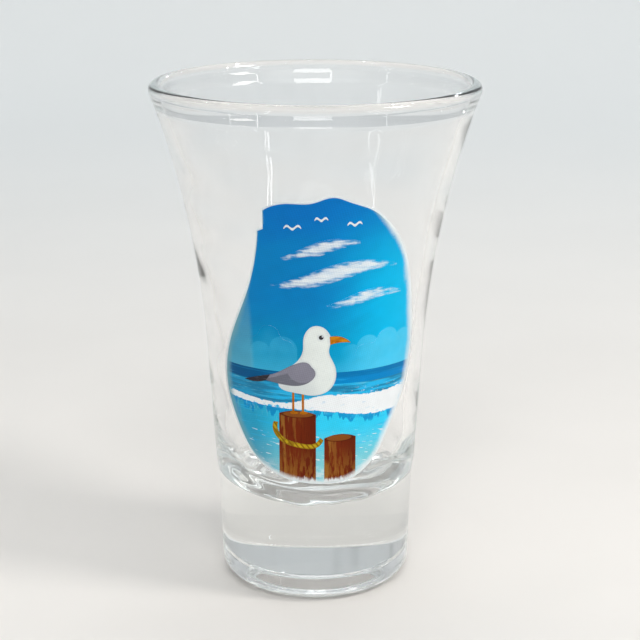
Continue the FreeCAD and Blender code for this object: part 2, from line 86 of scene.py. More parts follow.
class GlassSizes(bpy.types.PropertyGroup):
    """Section of the turned glass, and how uneven its pressed surface is."""

    hollow_radius: length("Hollow Radius", "Radius of the ceiling of the hollow underneath", 10.2)
    hollow_mouth: length("Hollow Mouth", "Radius of the hollow where it opens", 11.2)
    hollow_depth: length("Hollow Depth", "Depth of the hollow under the foot", 3.4)
    hollow_round: length("Hollow Round", "Radius of the hollow's upper corner", 0.8)
    foot_radius: length("Foot Radius", "Radius of the foot above the heel", 15.45)
    heel_round: length("Heel Round", "Radius of the rounded heel", 3.4)
    foot_top_radius: length("Foot Top Radius", "Radius of the foot below the shoulder", 15.95)
    foot_height: length("Foot Height", "Height of the foot below the shoulder", 18.0)
    bowl_base_radius: length("Bowl Base Radius", "Radius of the bowl above the shoulder", 16.35)
    bowl_base_height: length("Bowl Base Height", "Height at which the bowl wall starts", 20.5)
    wall_lean: slope("Wall Lean", "Outward lean of the straight outer wall", 3.7)
    flare_start: length("Flare Start", "Height at which the flare starts", 39.75)
    flare_radius: length("Flare Radius", "Radius of the flare's curve", 150.0)
    bead_base: length("Bead Base", "Height of the lower edge of the rim bead", 78.6)
    rim_round: length("Rim Round", "Radius of the rounded lip", 1.1)
    rim_radius: length("Rim Radius", "Radius of the lip's crest circle", 25.05)
    rim_wall: length("Rim Wall", "Wall thickness under the bead, measured level", 1.6)
    bowl_wall: length("Bowl Wall", "Wall thickness where the flare starts", 1.95)
    inner_lean: slope("Inner Lean", "Outward lean of the straight inner wall", 4.3)
    cavity_floor: length("Cavity Floor", "Height of the floor inside the bowl", 14.3)
    cavity_round: length("Cavity Round", "Radius between inner wall and floor", 12.0)
    corner_soften: length("Corner Soften", "How far a pressed corner is eased", 0.45)
    step: length("Step", "Spacing of the section's points on long runs", 0.7)
    fine_step: length("Fine Step", "Spacing of the section's points on small rounds", 0.2)
    around: bpy.props.IntProperty(name="Around", description="Points round the glass",
                                  default=288, min=24)
    outer_wave: length("Outer Wave", "Unevenness of the outer wall", 0.012)
    inner_wave: length("Inner Wave", "Unevenness of the inner wall", 0.09)
    floor_wave: length("Floor Wave", "Unevenness of the cavity's floor", 0.09)


class PrintSizes(bpy.types.PropertyGroup):
    """How the ink films lie on the glass."""

    ink: length("Ink", "Thickness of one ink film", 0.05)
    bedding: length("Bedding", "How deep a film sinks into what it lies on", 0.02)
    mesh_step: length("Mesh Step", "Spacing of the points inside a film", 0.55)


class PrintColours(bpy.types.PropertyGroup):
    """Inks of the picture."""

    paper: colour("Paper", "White under the picture", 0.76, 0.81, 0.83)
    zenith: colour("Zenith", "Top of the sky", 0.0, 0.16, 0.52)
    sky: colour("Sky", "Middle of the sky", 0.0, 0.205, 0.52)
    sky_low: colour("Low Sky", "Sky over the horizon", 0.0, 0.27, 0.50)
    sky_bright: colour("Bright Sky", "Right side of the sky", 0.0, 0.47, 0.80)
    bank_light: colour("Bank Light", "Low clouds and haze", 0.09, 0.58, 0.84)
    veil: colour("Veil", "Pale left side of the sky", 0.16, 0.42, 0.50)
    cloud: colour("Cloud", "High clouds and distant birds", 0.74, 0.80, 0.84)
    far_sea: colour("Far Sea", "Sea under the horizon", 0.0, 0.22, 0.55)
    far_sea_shade: colour("Far Sea Shade", "Darker left of the far sea", 0.0, 0.085, 0.235)
    near_sea: colour("Near Sea", "Sea before the surf", 0.02, 0.45, 0.79)
    near_sea_shade: colour("Near Sea Shade", "Troughs of the near sea", 0.015, 0.20, 0.38)
    foam: colour("Foam", "Foam of the surf", 0.81, 0.84, 0.86)
    foam_shade: colour("Foam Shade", "Hollows of the surf", 0.36, 0.58, 0.76)
    shallows: colour("Shallows", "Water under the surf", 0.03, 0.59, 0.87)
    shallows_low: colour("Low Shallows", "Water near the beach", 0.20, 0.60, 0.68)
    back_glow: colour("Back Glow", "Light that comes through the picture to its back", 0.30, 0.31, 0.31)
    feathers: colour("Feathers", "White of the gull", 0.74, 0.785, 0.76)
    feather_shade: colour("Feather Shade", "Shaded side of the gull", 0.50, 0.55, 0.58)
    wing: colour("Wing", "Grey of the folded wing", 0.23, 0.225, 0.28)
    edge_ink: colour("Edge Ink", "Thin ink round the top and left of the picture", 0.06, 0.30, 0.38)
    wing_shade: colour("Wing Shade", "Lower feathers of the wing", 0.13, 0.135, 0.17)
    slate: colour("Slate", "Wing tip and eye", 0.03, 0.026, 0.034)
    orange: colour("Orange", "Beak and legs", 0.60, 0.22, 0.003)
    orange_shade: colour("Orange Shade", "Underside of beak and legs", 0.38, 0.11, 0.002)
    wood: colour("Wood", "Wood of the posts", 0.155, 0.018, 0.002)
    wood_light: colour("Light Wood", "Streaks of the posts", 0.32, 0.13, 0.02)
    wood_dark: colour("Dark Wood", "Grain and shaded side of the posts", 0.085, 0.010, 0.001)
    rope: colour("Rope", "Lit strands of the rope", 0.50, 0.34, 0.012)
    rope_dark: colour("Dark Rope", "Gaps between the strands", 0.22, 0.11, 0.003)


class StageSizes(bpy.types.PropertyGroup):
    """Floor, backdrop, lights and camera."""

    floor_gap: length("Floor Gap", "Room between the resting ring and the floor", 0.05)
    floor_radius: length("Floor Radius", "Radius of the level floor", 450.0)
    sweep_round: length("Sweep Round", "Radius of the curve from floor to backdrop", 300.0)
    backdrop_height: length("Backdrop Height", "Height of the backdrop", 620.0)
    cloth: colour("Cloth", "Cloth near the glass", 0.805, 0.77, 0.735)
    backdrop: colour("Backdrop", "Cloth behind the glass", 0.875, 0.885, 0.88)
    wall: colour("Wall", "Upper part of the wall round the cloth", 0.67, 0.69, 0.705)
    smudge: colour("Wall_Patch", "Darker patches of the wall", 0.47, 0.485, 0.50)
    daylight: colour("Daylight", "Light of the room", 0.86, 0.90, 0.92)
    dusk: colour("Dusk", "Dimmer light of the room's sides", 0.16, 0.17, 0.18)
    camera_distance: length("Camera Distance", "Camera's distance in front of the axis", 275.8)
    camera_height: length("Camera Height", "Camera's height over the floor", 121.5)
    camera_dip: slope("Camera Dip", "How far the camera looks down", 15.823)
    lens: length("Lens", "Focal length of the camera", 99.29)


class ShotGlassSettings(bpy.types.PropertyGroup):
    """Everything that shapes the shot glass and its stage."""

    glass: bpy.props.PointerProperty(type=GlassSizes, name="Glass",
                                     description="Section of the glass")
    films: bpy.props.PointerProperty(type=PrintSizes, name="Films",
                                     description="How the ink lies on the glass")
    colours: bpy.props.PointerProperty(type=PrintColours, name="Colours",
                                       description="Inks of the picture")
    stage: bpy.props.PointerProperty(type=StageSizes, name="Stage",
                                     description="Floor, backdrop, lights and camera")


# ---------------------------------------------------------------- section of the glass

def sloped(angle):
    """Direction across a wall that leans outward by an angle."""
    return Vector((math.cos(angle), -math.sin(angle)))


def straight(first, last, step):
    """Points of a straight run, without its last point."""
    count = max(1, round((last - first).length / step))
    return [first.lerp(last, index / count) for index in range(count)]


def rounded(centre, radius, start, turn, step):
    """Points of an arc from a start angle through a turn, without its last point."""
    count = max(2, math.ceil(abs(radius * turn) / step))
    angles = [start + turn * index / count for index in range(count)]
    return [centre + Vector((math.cos(angle), math.sin(angle))) * radius for angle in angles]


def angle_to(centre, point):
    return math.atan2(point.y - centre.y, point.x - centre.x)


def touch_point(outside, centre, radius, side):
    """Where a line from a point outside a circle touches it, on its right (-1) or left (1)."""
    gap = centre - outside
    turn = math.atan2(gap.y, gap.x) + side * math.asin(radius / gap.length)
    reach = math.sqrt(gap.length ** 2 - radius ** 2)
    return outside + Vector((math.cos(turn), math.sin(turn))) * reach


def outer_wall(sizes):
    """Turning point of the outer wall and the centre of its flare."""
    rise = sizes.flare_start - sizes.bowl_base_height
    turn = Vector((sizes.bowl_base_radius + rise * math.tan(sizes.wall_lean), sizes.flare_start))
    return turn, turn + sloped(sizes.wall_lean) * sizes.flare_radius


def flare_point(centre, radius, height):
    """Point of a flare, whose centre lies outside the glass, at a height."""
    return Vector((centre.x - math.sqrt(radius ** 2 - (height - centre.y) ** 2), height))


def outer_radius(sizes, height):
    """Radius of the outer wall at heights in the inked zone."""
    turn, centre = outer_wall(sizes)
    leaning = turn.x + (height - turn.y) * math.tan(sizes.wall_lean)
    drop = np.maximum(height, turn.y) - centre.y
    flared = centre.x - np.sqrt(sizes.flare_radius ** 2 - drop ** 2)
    return np.where(height < turn.y, leaning, flared)


def eased(before, corner, after, reach, step):
    """Soft turn in place of a pressed corner."""
    start = corner + (before - corner).normalized() * reach
    end = corner + (after - corner).normalized() * reach
    count = max(3, round(2 * reach / step))
    points = []
    for index in range(count):
        done = index / count
        points.append(start.lerp(corner, done).lerp(corner.lerp(end, done),
                                                          done))
    return points, start, end


def foot_section(sizes):
    """Section from the hollow's middle, round the heel and up to the end of the shoulder."""
    fine = sizes.fine_step
    ring = Vector((sizes.hollow_mouth, 0))
    ceiling = Vector((sizes.hollow_radius, sizes.hollow_depth))
    side = (ring - ceiling).normalized()
    setback = sizes.hollow_round * math.tan(math.acos(side.x) / 2)
    ceiling_end = ceiling - Vector((setback, 0))
    hollow_centre = ceiling_end - Vector((0, sizes.hollow_round))
    side_turn = math.atan2(side.y, side.x)
    heel_centre = Vector((sizes.foot_radius - sizes.heel_round, sizes.heel_round))
    foot_top = Vector((sizes.foot_top_radius, sizes.foot_height))
    bowl_base = Vector((sizes.bowl_base_radius, sizes.bowl_base_height))
    heel_top = touch_point(foot_top, heel_centre, sizes.heel_round, 1)
    turn = outer_wall(sizes)[0]
    ease = sizes.corner_soften
    foot_ease, foot_start, foot_end = eased(heel_top, foot_top, bowl_base, ease, fine)
    base_ease, base_start, base_end = eased(foot_top, bowl_base, turn, ease, fine)
    points = straight(Vector((0, sizes.hollow_depth)), ceiling_end, sizes.step)
    points += rounded(hollow_centre, sizes.hollow_round, math.pi / 2, side_turn, fine)
    points += straight(ceiling + side * setback, ring, fine)
    points += straight(ring, Vector((heel_centre.x, 0)), fine)
    points += rounded(heel_centre, sizes.heel_round, -math.pi / 2,
                      angle_to(heel_centre, heel_top) + math.pi / 2, fine)
    points += straight(heel_top, foot_start, sizes.step) + foot_ease
    points += straight(foot_end, base_start, sizes.step) + base_ease
    return points, base_end


def bowl_section(sizes, base):
    """Section from the bowl's base, over the lip and down to the middle of the cavity floor."""
    fine = sizes.fine_step
    turn, centre = outer_wall(sizes)
    top = flare_point(centre, sizes.flare_radius, sizes.bead_base)
    inner_turn = turn - Vector((sizes.bowl_wall, 0))
    inner_top = top - Vector((sizes.rim_wall, 0))
    chord = inner_top - inner_turn
    offset = chord.x * math.cos(sizes.inner_lean) - chord.y * math.sin(sizes.inner_lean)
    inner_radius = chord.length_squared / (2 * offset)
    inner_centre = inner_turn + sloped(sizes.inner_lean) * inner_radius
    lip = Vector((sizes.rim_radius, GLASS_TOP.z - sizes.rim_round))
    lip_out = touch_point(top, lip, sizes.rim_round, -1)
    lip_in = touch_point(inner_top, lip, sizes.rim_round, 1)
    drop = inner_turn.y - sizes.cavity_floor - sizes.cavity_round
    cavity = Vector((inner_turn.x - drop * math.tan(sizes.inner_lean)
                     - sizes.cavity_round / math.cos(sizes.inner_lean),
                     sizes.cavity_floor + sizes.cavity_round))
    cavity_top = cavity + sloped(sizes.inner_lean) * sizes.cavity_round
    lip_start = angle_to(lip, lip_out)
    flare_start, flare_end = angle_to(centre, turn), angle_to(centre, top)
    inner_start, inner_end = angle_to(inner_centre, inner_top), angle_to(inner_centre, inner_turn)
    points = straight(base, turn, sizes.step)
    points += rounded(centre, sizes.flare_radius, flare_start,
                      (flare_end - flare_start - math.pi) % math.tau - math.pi, sizes.step)
    points += straight(top, lip_out, fine)
    points += rounded(lip, sizes.rim_round, lip_start,
                      (angle_to(lip, lip_in) - lip_start) % math.tau, fine / 2)
    points += straight(lip_in, inner_top, fine)
    points += rounded(inner_centre, inner_radius, inner_start,
                      (inner_end - inner_start - math.pi) % math.tau - math.pi, sizes.step)
    points += straight(inner_turn, cavity_top, sizes.step)
    points += rounded(cavity, sizes.cavity_round, -sizes.inner_lean,
                      sizes.inner_lean - math.pi / 2, sizes.step / 2)
    points += straight(Vector((cavity.x, sizes.cavity_floor)), Vector((0, sizes.cavity_floor)),
                       sizes.step)
    return points


def new_mesh(name, vertices, faces):
    mesh = bpy.data.meshes.new(name)
    mesh.from_pydata(vertices, [], faces)
    mesh.update()
    mesh.shade_smooth()
    return mesh


def ripple(dice, turns, pitches, count):
    """Soft waves round and up the glass, about 1 high, as a function of turn and height."""
    waves = [(dice.randint(*turns), dice.uniform(*pitches), dice.uniform(0, math.tau))
             for _ in range(count)]

    def height_of(turn, height):
        total = sum(np.cos(around * turn + math.tau * height / pitch + start)
                    for around, pitch, start in waves)
        return total / math.sqrt(count)
    return height_of


# Least and most turns round the glass, least and most rise of a wave, and how many add up.
OUTER_WAVES = (2, 5), (14 * MM, 40 * MM), 5
INNER_WAVES = (2, 7), (7 * MM, 30 * MM), 6
FLOOR_WAVES = (3, 11), (3 * MM, 9 * MM), 7
# Where the waves change or end, and how softly.
FLOOR_ZONE, FLOOR_FADE = 30 * MM, 14 * MM
AXIS_FADE = 6 * MM
FOOT_ZONE, FOOT_FADE = 4 * MM, 4 * MM
LIP_ZONE, LIP_FADE = 77 * MM, 6 * MM
PRINT_LOW, PRINT_LOW_FADE = 19 * MM, MM
PRINT_HIGH, PRINT_HIGH_FADE = 70 * MM, 4 * MM
OUTER_SHARE = 0.5
WAVE_SEED = 8


def turned_mesh(name, sizes):
    """The glass as one turned, slightly uneven skin."""
    foot, base = foot_section(sizes)
    section = foot + bowl_section(sizes, base)
    inner_from = max(range(len(section)), key=lambda index: section[index].y)
    middle, ring_points = section[0], section[1:]
    radius = np.array([point.x for point in ring_points])[:, None]
    height = np.array([point.y for point in ring_points])[:, None]
    turn = np.linspace(0, math.tau, sizes.around, endpoint=False)[None, :]
    dice = random.Random(WAVE_SEED)
    outer = ripple(dice, *OUTER_WAVES)(turn, height) * sizes.outer_wave
    inner = ripple(dice, *INNER_WAVES)(turn, height) * sizes.inner_wave
    floor = ripple(dice, *FLOOR_WAVES)(turn, height) * sizes.floor_wave
    depth = np.clip((FLOOR_ZONE - height) / FLOOR_FADE, 0, 1)
    is_inner = (np.arange(len(ring_points)) >= inner_from)[:, None]
    off_axis = np.clip(radius / AXIS_FADE, 0, 1)
    above_foot = np.clip((height - FOOT_ZONE) / FOOT_FADE, 0, 1)
    below_lip = np.clip((LIP_ZONE - height) / LIP_FADE, 0, 1)
    inner_push = (inner * (1 - depth) + floor * depth) * off_axis * below_lip
    push = np.where(is_inner, inner_push, outer * above_foot * below_lip * OUTER_SHARE)
    below_top = np.clip((PRINT_HIGH - height) / PRINT_HIGH_FADE, 0, 1)
    in_print = below_top * np.clip((height - PRINT_LOW) / PRINT_LOW_FADE, 0, 1)
    push = np.where(is_inner, push, push * (1 - in_print * np.clip(-np.sin(turn), 0, 1)))
    radius = radius + push
    height = height + np.where(is_inner, -push * depth, 0)
    places = np.stack([radius * np.cos(turn), radius * np.sin(turn),
                       np.broadcast_to(height, radius.shape)], axis=-1).reshape(-1, 3)
    count = sizes.around
    last = len(ring_points)
    floor_middle = (0.0, 0.0, sizes.cavity_floor)
    vertices = [(0.0, 0.0, middle.y), *map(tuple, places), floor_middle]
    faces = []
    for step in range(count):
        after = (step + 1) % count
        faces.append((0, 1 + after, 1 + step))
        for row in range(last - 1):
            low, high = 1 + row * count, 1 + (row + 1) * count
            faces.append((low + step, low + after, high + after, high + step))
        top = 1 + (last - 1) * count
        faces.append((top + step, top + after, len(vertices) - 1))
    return new_mesh(name, vertices, faces)


# ---------------------------------------------------------------- ink films

OUTWARD_ENOUGH = 0.7
ROOM_AT_EDGE = 0.35
SHARP_EDGE = math.radians(40)


def outward_sheet(node):
    """Corners and triangles of the outward side of a film of the frame."""
    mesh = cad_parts[node].data
    mesh.calc_loop_triangles()
    corners = {}
    index_of = []
    for vertex in mesh.vertices:
        key = tuple(round(value / MM, 3) for value in vertex.co)
        index_of.append(corners.setdefault(key, len(corners)))
    places = np.array(list(corners)) * MM
    triangles = []
    for triangle in mesh.loop_triangles:
        middle = Vector(triangle.center)
        outward = Vector((middle.x, middle.y, 0)).normalized()
        if triangle.normal.dot(outward) > OUTWARD_ENOUGH:
            triangles.append(tuple(index_of[index] for index in triangle.vertices))
    return places, triangles


def outline_edges(node):
    """Edges of a film's outline, seen from the front as across and up."""
    places, triangles = outward_sheet(node)
    seen = {}
    for triangle in triangles:
        for first, last in zip(triangle, triangle[1:] + triangle[:1]):
            if first != last:
                key = frozenset((first, last))
                seen[key] = seen.get(key, 0) + 1
    edges = [tuple(key) for key, count in seen.items() if count == 1]
    if not edges:
        raise RuntimeError(f"{node} has no outline to print in")
    return np.array([[places[first][[0, 2]], places[last][[0, 2]]] for first, last in edges])


def gap_to(edges, places):
    """Distance from each place to the nearest edge of an outline."""
    start, run = edges[:, 0], edges[:, 1] - edges[:, 0]
    square = np.maximum((run ** 2).sum(1), 1e-18)
    nearest = np.full(len(places), np.inf)
    for first, step, long in zip(start, run, square):
        along = np.clip(((places - first) @ step) / long, 0, 1)[:, None]
        nearest = np.minimum(nearest, np.linalg.norm(places - first - along * step, axis=1))
    return nearest


def is_inside(edges, places):
    """Whether each place is inside an outline, by counting crossings to its right."""
    crossings = np.zeros(len(places), int)
    across, up = places[:, 0], places[:, 1]
    for (x1, z1), (x2, z2) in edges:
        spans = (z1 > up) != (z2 > up)
        if z1 != z2:
            crossing = x1 + (up - z1) * (x2 - x1) / (z2 - z1)
            crossings += spans & (across < crossing)
    return crossings % 2 == 1


def flat_film(edges, step):
    """Points and triangles that fill an outline evenly, and the pairs of points along its edge."""
    low, high = edges.min((0, 1)), edges.max((0, 1))
    across = np.arange(low[0], high[0], step)
    up = np.arange(low[1], high[1], step)
    grid = np.array([(x + (row % 2) * step / 2, z) for row, z in enumerate(up) for x in across])
    if len(grid):
        grid = grid[is_inside(edges, grid)]
    if len(grid):
        grid = grid[gap_to(edges, grid) > step * ROOM_AT_EDGE]
    rim = edges.reshape(-1, 2)
    points = [Vector(point / MM) for point in (*rim, *grid)]
    pairs = [(index, index + 1) for index in range(0, len(rim), 2)]
    places, _, triangles, _, _, _ = delaunay_2d_cdt(points, pairs, [], 1, 1e-4)
    places = np.array([tuple(place) for place in places]) * MM
    middles = places[np.array(triangles)].mean(1)
    kept = [tuple(triangle) for triangle, inside in
            zip(triangles, is_inside(edges, middles)) if inside]
    used = {}
    for triangle in kept:
        for first, last in zip(triangle, triangle[1:] + triangle[:1]):
            used[(first, last)] = True
    border = [pair for pair in used if pair[::-1] not in used]
    return places, kept, border


def film_mesh(name, node, layer, settings):
    """Closed ink film, wrapped round the bowl over an outline of the frame."""
    edges = outline_edges(node)
    places, triangles, border = flat_film(edges, settings.films.mesh_step)
    if not triangles:
        raise RuntimeError(f"{name} came out empty")
    wall = outer_radius(settings.glass, places[:, 1])
    sheets = []
    for height in (layer * settings.films.ink,
                   (layer - 1) * settings.films.ink - settings.films.bedding):
        radius = wall + height
        forward = -np.sqrt(np.maximum(radius ** 2 - places[:, 0] ** 2, 0))
        sheets.append(np.column_stack([places[:, 0], forward, places[:, 1]]))
    count = len(places)
    faces = list(triangles)
    faces += [tuple(count + index for index in triangle[::-1]) for triangle in triangles]
    faces += [(last, first, count + first, count + last) for first, last in border]
    mesh = new_mesh(name, np.concatenate(sheets).tolist(), faces)
    mesh.set_sharp_from_angle(angle=SHARP_EDGE)
    for label, outline in (("own_edge", edges), ("picture_edge", outline_edges("white_underprint"))):
        gaps = np.tile(gap_to(outline, places) / MM, 2)
        layer_data = mesh.attributes.new(label, "FLOAT", "POINT")
        layer_data.data.foreach_set("value", gaps.astype(np.float32))
    return mesh


def place_piece(mesh, node, slot, material):
    """Put a finished mesh in the scene in place of its node of the frame."""
    piece = bpy.data.objects.new(mesh.name, mesh)
    bpy.context.scene.collection.objects.link(piece)
    mesh.materials.append(material)
    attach(piece, BODY)
    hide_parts(node)
    return piece


def print_film(node, layer, slot, material):
    """Ink film of one node of the frame."""
    settings = bpy.context.scene.shot_glass
    name = node.replace("_print", "_film")
    return place_piece(film_mesh(name, node, layer, settings), node, slot, material)


# ---------------------------------------------------------------- shading

MIX_FIRST, MIX_SECOND, MIX_RESULT = 6, 7, 2
BUMP_STRENGTH = 0.25


class Shading:
    """Adds and links the nodes of one material or node group."""

    def __init__(self, tree):
        self.tree = tree

    def feed(self, socket, value):
        """Link an output to a socket, or set the socket's own value."""
        if isinstance(value, bpy.types.NodeSocket):
            self.tree.links.new(value, socket)
        else:
            socket.default_value = value

    def add(self, kind, inputs=(), **settings):
        node = self.tree.nodes.new(kind)
        node.location.x = 180 * len(self.tree.nodes)
        for name, value in settings.items():
            setattr(node, name, value)
        for name, value in dict(inputs).items():
            self.feed(node.inputs[name], value)
        return node

    def maths(self, operation, *values, clamp=False):
        node = self.add("ShaderNodeMath", operation=operation, use_clamp=clamp)
        for socket, value in zip(node.inputs, values):
            self.feed(socket, value)
        return node.outputs[0]

    def times(self, first, second, clamp=False):
        return self.maths("MULTIPLY", first, second, clamp=clamp)

    def plus(self, first, second):
        return self.maths("ADD", first, second)

    def minus(self, first, second):
        return self.maths("SUBTRACT", first, second)

    def most(self, first, second):
        return self.maths("MAXIMUM", first, second)

    def line(self, value, rise, start):
        """A value times a rise, plus a start."""
        return self.maths("MULTIPLY_ADD", value, rise, start)

    def reach(self, right, up):
        """Length of a step so far to the right and so far up."""
        square = self.plus(self.times(right, right), self.times(up, up))
        return self.maths("SQRT", square)

    def vector(self, operation, first, second, result="Vector"):
        node = self.add("ShaderNodeVectorMath", operation=operation)
        self.feed(node.inputs[0], first)
        self.feed(node.inputs[1], second)
        return node.outputs[result]

    def parts(self, vector):
        """X, Y and Z of a vector."""
        return self.add("ShaderNodeSeparateXYZ", {"Vector": vector}).outputs

    def slanted(self, place, degrees):
        """Place turned round the line of sight."""
        turn = {"Vector": place, "Angle": math.radians(degrees)}
        return self.add("ShaderNodeVectorRotate", turn, rotation_type="Z_AXIS").outputs["Vector"]

    def brightened(self, tone, factor):
        node = self.add("ShaderNodeVectorMath", operation="SCALE")
        self.feed(node.inputs[0], tone)
        self.feed(node.inputs["Scale"], factor)
        return node.outputs["Vector"]

    def soft_step(self, value, low, high):
        """0 at low, 1 at high and a smooth change between, whichever of the two is larger."""
        node = self.add("ShaderNodeMapRange", {"Value": value, "From Min": low, "From Max": high},
                        interpolation_type="SMOOTHSTEP")
        return node.outputs["Result"]

    def mix(self, factor, first, second):
        node = self.add("ShaderNodeMix", {"Factor": factor}, data_type="RGBA")
        self.feed(node.inputs[MIX_FIRST], first)
        self.feed(node.inputs[MIX_SECOND], second)
        return node.outputs[MIX_RESULT]

    def noise(self, place, across, up, detail):
        """Noise whose marks are about so many millimetres across and up."""
        scaled = self.vector("MULTIPLY", place, (1 / across, 1 / up, 1.0))
        node = self.add("ShaderNodeTexNoise",
                        {"Vector": scaled, "Scale": 1.0, "Detail": detail, "Roughness": 0.5})
        return node.outputs["Fac"]

    def edge(self, name):
        """Distance in millimetres from an edge, kept with the mesh."""
        return self.add("ShaderNodeAttribute", attribute_name=name).outputs["Fac"]

    def edge_line(self, outer, inner, strength):
        """Line along a film's own edge, gone at the outer distance and full at the inner one."""
        return self.times(self.soft_step(self.edge("own_edge"), outer, inner), strength)


def new_group(name, inputs, outputs):
    """Node group with named sockets, its shading helper and its two end nodes."""
    tree = bpy.data.node_groups.new(name, "ShaderNodeTree")
    for in_out, sockets in (("INPUT", inputs), ("OUTPUT", outputs)):
        for label, kind in sockets:
            tree.interface.new_socket(name=label, in_out=in_out, socket_type="NodeSocket" + kind)
    shading = Shading(tree)
    return shading, shading.add("NodeGroupInput").outputs, shading.add("NodeGroupOutput").inputs


def use_group(shading, build, inputs=()):
    """Place a shared group, built the first time it is asked for, and return its outputs."""
    tree = bpy.data.node_groups.get(build.__name__)
    if tree is None:
        build()
        tree = bpy.data.node_groups[build.__name__]
    node = shading.add("ShaderNodeGroup", node_tree=tree)
    for name, value in dict(inputs).items():
        shading.feed(node.inputs[name], value)
    return node.outputs


# Millimetres, as places on the picture are.
PICTURE_RADIUS = 17.6
POST_CROWN = 0.6
SCREEN_PITCH = 0.46
BARE_EDGE = 0.3


def picture_place():
    """Place on the unrolled picture, in millimetres: across from its middle and up."""
    shading, _, outputs = new_group("picture_place", (),
                                    (("Place", "Vector"), ("Across", "Float"), ("Up", "Float")))
    position = shading.add("ShaderNodeTexCoord").outputs["Object"]
    split = shading.parts(position)
    front = shading.times(split["Y"], -1.0)
    across = shading.times(shading.maths("ARCTAN2", split["X"], front), PICTURE_RADIUS)
    up = shading.maths("DIVIDE", split["Z"], MM)
    place = shading.add("ShaderNodeCombineXYZ", {"X": across, "Y": up}).outputs["Vector"]
    shading.feed(outputs["Place"], place)
    shading.feed(outputs["Across"], across)
    shading.feed(outputs["Up"], up)


def screen_print():
    """Fine printed screen and mottling, and the white or thin ink that shows at the edge."""
    shading, inputs, outputs = new_group(
        "screen_print",
        (("Colour", "Color"), ("Paper", "Color"), ("Edge", "Color"), ("Screen", "Float"),
         ("Fade", "Float"), ("Crisp", "Float")),
        (("Colour", "Color"), ("Roughness", "Float"), ("Height", "Float")))
    place = use_group(shading, picture_place)["Place"]
    turned = shading.slanted(place, 30)
    split = shading.parts(turned)
    pitch = math.tau / SCREEN_PITCH
    dots = [shading.maths("SINE", shading.times(split[axis], pitch)) for axis in ("X", "Y")]
    dot = shading.times(*dots)
    grain = shading.noise(place, 0.25, 0.25, 2.0)
    mottle = shading.noise(place, 2.2, 2.2, 3.0)
    screen = shading.plus(shading.times(dot, 0.5), shading.minus(grain, 0.5))
    screen = shading.times(screen, inputs["Screen"])
    brightness = shading.plus(screen, 1.0)
    soft = shading.line(mottle, 0.16, 0.92)
    brightness = shading.times(brightness, soft)
    bright = shading.brightened(inputs["Colour"], brightness)
    ragged = shading.line(grain, 0.5, shading.edge("picture_edge"))
    past_edge = shading.minus(ragged, BARE_EDGE)
    shown = shading.soft_step(past_edge, 0.0, inputs["Fade"])
    ground = shading.mix(inputs["Crisp"], inputs["Paper"], inputs["Edge"])
    shading.feed(outputs["Colour"], shading.mix(shown, ground, bright))
    shading.feed(outputs["Roughness"], shading.line(mottle, 0.12, 0.26))
    peel = shading.noise(place, 0.9, 0.9, 2.0)
    shading.feed(outputs["Height"], shading.line(dot, 0.15, peel))


def side_fade():
    """Width of the ink's fade, and how far it fades to thin ink instead of to white."""
    shading, _, outputs = new_group("side_fade", (), (("Fade", "Float"), ("Crisp", "Float")))
    place = use_group(shading, picture_place)
    right = shading.soft_step(place["Across"], 4.0, 12.0)
    left = shading.times(shading.soft_step(place["Across"], -6.0, -12.0),
                         shading.soft_step(place["Up"], 56.0, 48.0))
    cloudy = shading.noise(place["Place"], 2.5, 5.0, 2.0)
    wide = shading.line(right, 0.9, shading.times(left, 1.3))
    wide = shading.times(wide, shading.line(cloudy, 1.6, 0.1))
    low = shading.soft_step(place["Up"], 26.0, 22.0)
    total = shading.plus(shading.line(low, 0.8, wide), 0.3)
    shading.feed(outputs["Fade"], total)
    from_right = shading.most(shading.soft_step(place["Across"], 10.0, 2.0),
                              shading.soft_step(place["Up"], 62.0, 66.0))
    crisp = shading.times(from_right, shading.minus(1.0, low))
    shading.feed(outputs["Crisp"], shading.times(crisp, 0.85))


def painted_sky():
    """Sky from deep blue at the top to bright blue low on the right, in long brush strokes."""
    shading, inputs, outputs = new_group(
        "painted_sky",
        (("Top", "Color"), ("Middle", "Color"), ("Low", "Color"), ("Right", "Color")),
        (("Colour", "Color"),))
    place = use_group(shading, picture_place)
    strokes = shading.slanted(place["Place"], -24)
    drift = shading.minus(shading.noise(strokes, 9.0, 2.2, 4.0), 0.5)
    up = shading.line(drift, 5.0, place["Up"])
    across = shading.line(drift, 4.0, place["Across"])
    tone = shading.mix(shading.soft_step(up, 58.0, 66.0), inputs["Middle"], inputs["Top"])
    tone = shading.mix(shading.soft_step(up, 52.0, 41.0), tone, inputs["Low"])
    sunny = shading.times(shading.soft_step(across, -1.0, 13.0), shading.soft_step(up, 72.0, 52.0))
    tone = shading.mix(sunny, tone, inputs["Right"])
    fine = shading.line(shading.noise(strokes, 6.0, 1.6, 2.0), 0.10, 0.95)
    shading.feed(outputs["Colour"], shading.brightened(tone, fine))


CLOUD_HEADS = (
    # across, up and radius of each round cloud head over the horizon, in millimetres
    (-8.6, 42.3, 1.9),
    (-4.9, 43.2, 2.2),
    (5.4, 42.4, 1.7),
    (8.2, 43.4, 1.9),
    (11.7, 43.9, 2.1),
    (15.0, 43.2, 2.1),
)


